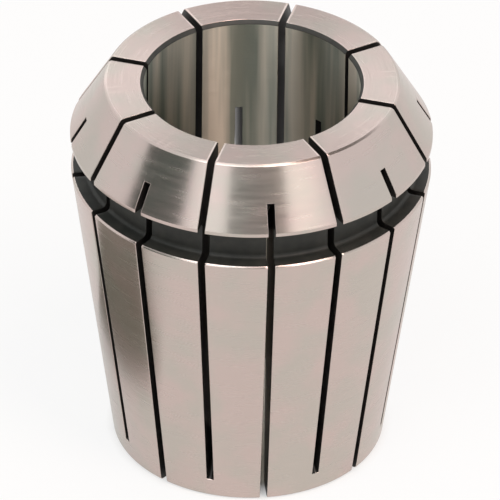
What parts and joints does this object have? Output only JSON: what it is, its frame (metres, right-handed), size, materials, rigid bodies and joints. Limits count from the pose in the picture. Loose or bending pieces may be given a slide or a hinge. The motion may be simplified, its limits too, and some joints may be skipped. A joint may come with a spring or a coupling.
{
  "type": "er collet",
  "caption": "Tapered spring collet with a straight clamping bore, saw-cut slits from both ends by turns, a steep front taper and an extraction groove.",
  "frame": {"origin": "centre of the rear face, on the axis of the bore", "axes": "+Z along the bore, from the rear face to the front face that the nut presses on; -Y through the middle of a slit that is open at the rear"},
  "size_m": [0.0402, 0.0402, 0.046],
  "materials": {
    "spring_steel": "ground bright on the tapers, faces and bore, left black from hardening in the groove and slits"
  },
  "bodies": {
    "root": {"collet": "spring_steel"}
  },
  "joints": []
}
